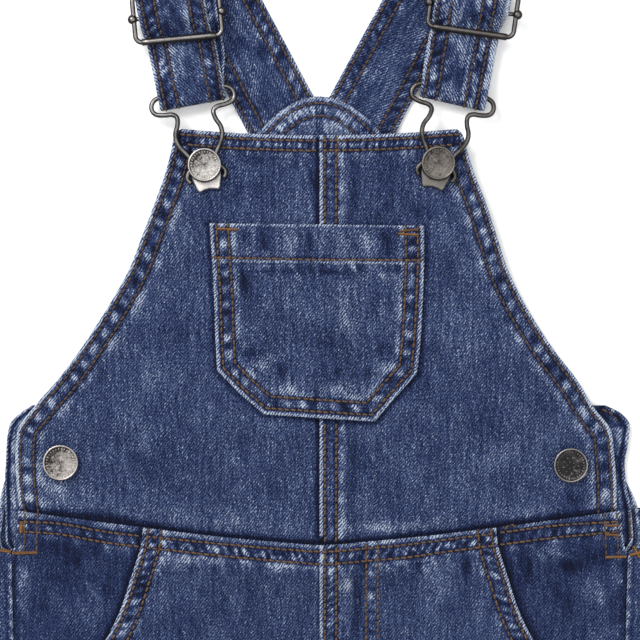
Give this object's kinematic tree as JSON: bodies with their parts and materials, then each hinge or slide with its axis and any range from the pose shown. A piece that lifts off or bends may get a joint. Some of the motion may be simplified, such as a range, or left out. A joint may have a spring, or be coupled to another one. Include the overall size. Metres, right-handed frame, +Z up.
{
  "type": "kids dungarees",
  "caption": "Small child's denim dungarees laid flat, with bib, patch pocket, curved front pockets, button sides and buckled straps.",
  "frame": {"origin": "middle of the garment's footprint, on the surface that it lies on", "axes": "+X to the right of the front view, +Y from the hems towards the shoulders, +Z up off the surface"},
  "size_m": [0.299, 0.7323, 0.0113],
  "materials": {
    "denim": "washed indigo denim twill, light at the folded edges, orange-brown topstitching",
    "hardware": "aged nickel wire",
    "buttons": "aged nickel, plain beaded face"
  },
  "bodies": {
    "root": {"bib_left": "denim", "bib_right": "denim", "bib_pocket": "denim", "front_leg_left": "denim", "front_leg_right": "denim", "pocket_facing_left": "denim", "pocket_facing_right": "denim", "back_leg_left": "denim", "back_leg_right": "denim", "back_bib_left": "denim", "back_bib_right": "denim", "side_placket_left": "denim", "side_placket_right": "denim", "strap_left": "denim", "strap_right": "denim", "slide_left": "hardware", "slide_right": "hardware", "clasp_wire_left": "hardware", "clasp_wire_right": "hardware", "clasp_plate_left": "hardware", "clasp_plate_right": "hardware", "bib_button_left": "buttons", "bib_button_right": "buttons", "side_button_left": "buttons", "side_button_right": "buttons"}
  },
  "joints": []
}
